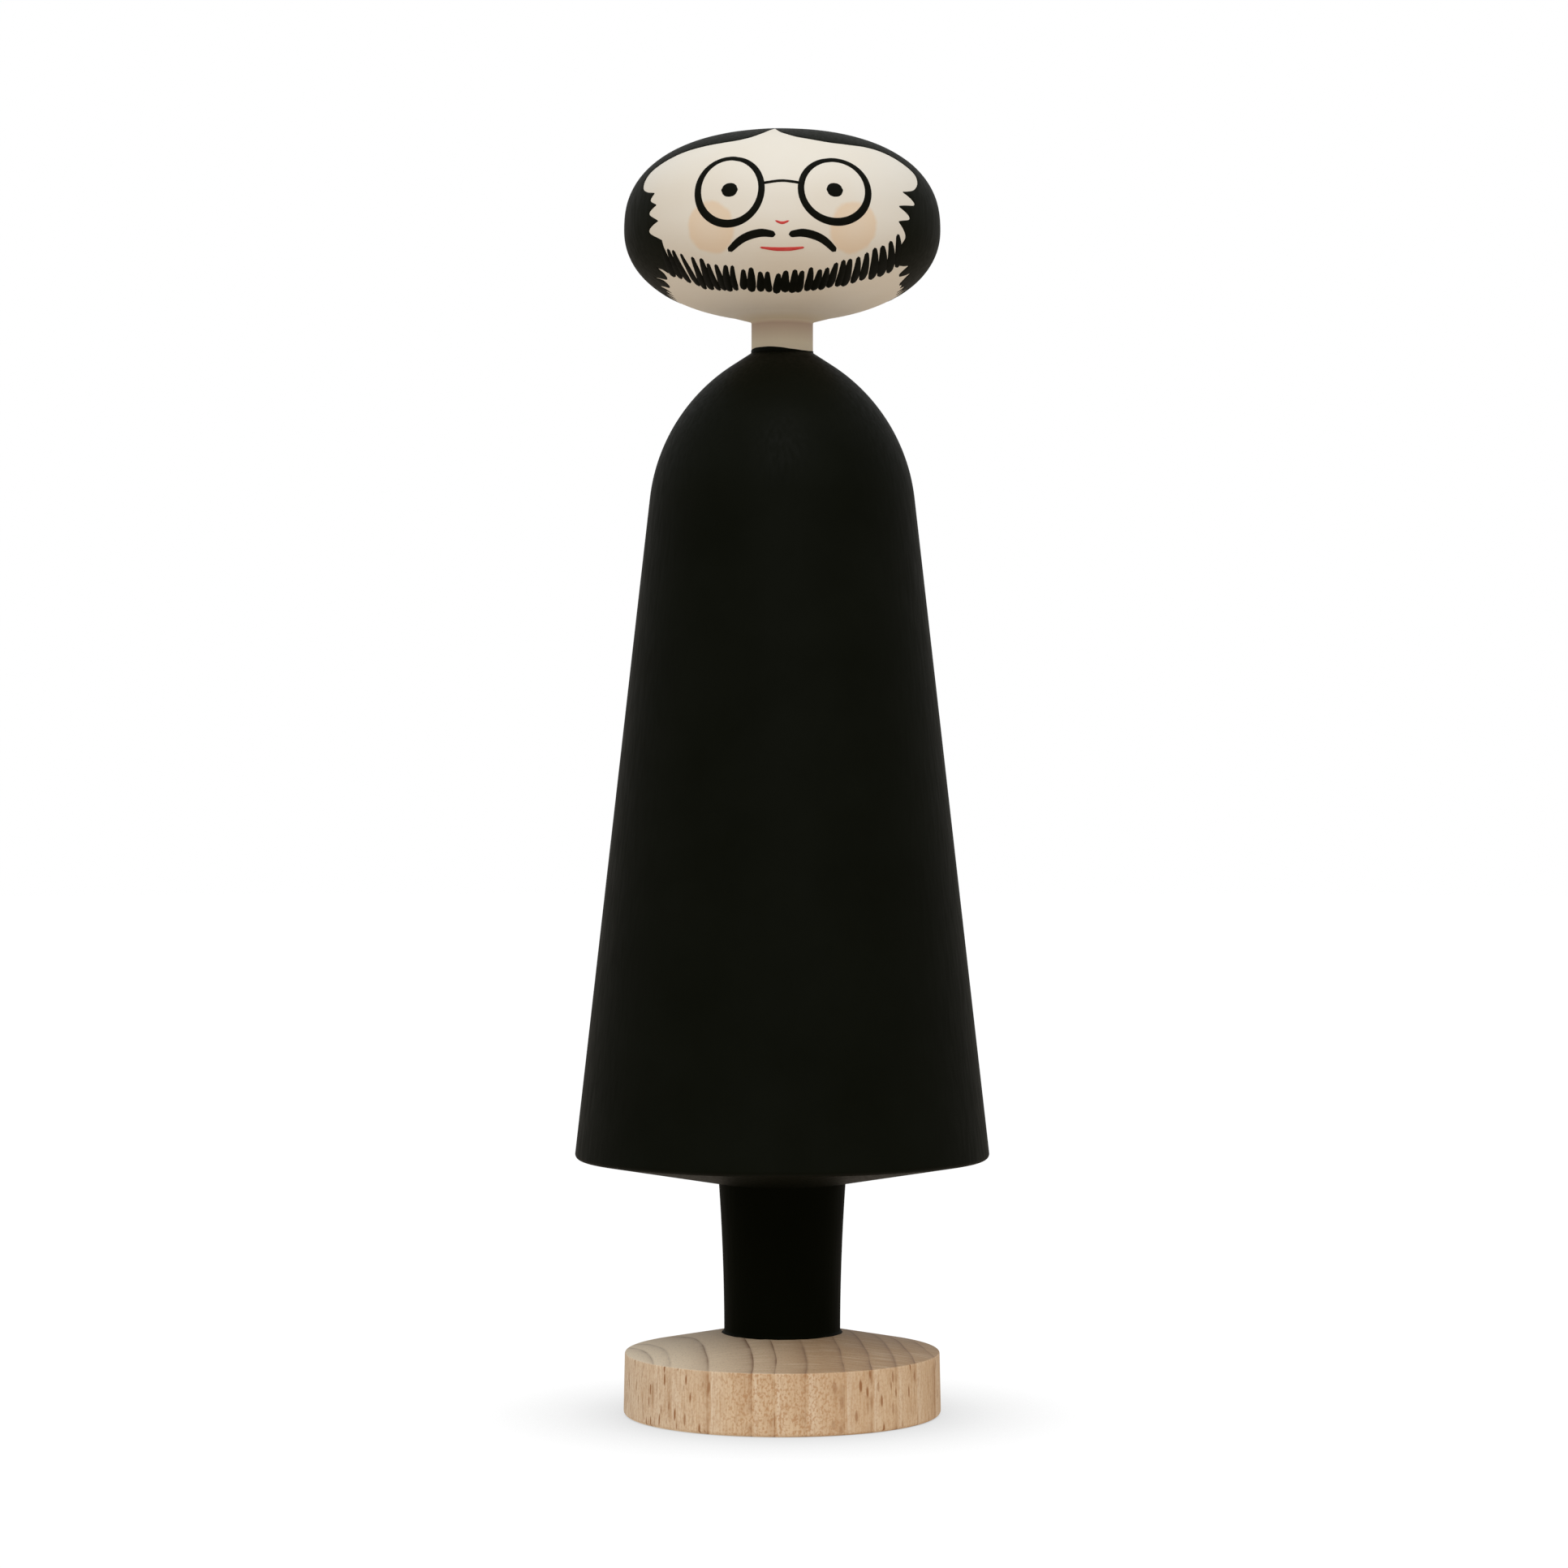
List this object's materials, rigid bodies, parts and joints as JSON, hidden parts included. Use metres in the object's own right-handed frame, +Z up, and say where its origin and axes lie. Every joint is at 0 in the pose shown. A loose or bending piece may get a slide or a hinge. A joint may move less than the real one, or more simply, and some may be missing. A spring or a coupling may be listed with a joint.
{
  "type": "painted wooden figure",
  "caption": "Lathe-turned painted wooden figure: wide rounded head on a thin neck, long black robe with rounded shoulders, one leg and a plain beech disc that it stands on.",
  "frame": {"origin": "centre of the base disc's underside, on the axis that all the pieces are turned about", "axes": "+Z up along the turning axis, -Y towards the side with the face, +X to the viewer's right"},
  "size_m": [0.0652, 0.0652, 0.2016],
  "materials": {
    "beech": "sanded, unpainted",
    "screw_steel": "zinc plated",
    "leg_paint": "matte black paint on beech",
    "robe_paint": "matte black paint on beech",
    "cream_paint": "satin cream paint on beech",
    "face_paint": "brushed-on satin paint"
  },
  "bodies": {
    "root": {"base_disc": "beech", "base_screw": "screw_steel", "leg": "leg_paint", "waist_dowel": "beech", "robe": "robe_paint", "neck": "cream_paint", "head": "cream_paint"}
  },
  "joints": []
}
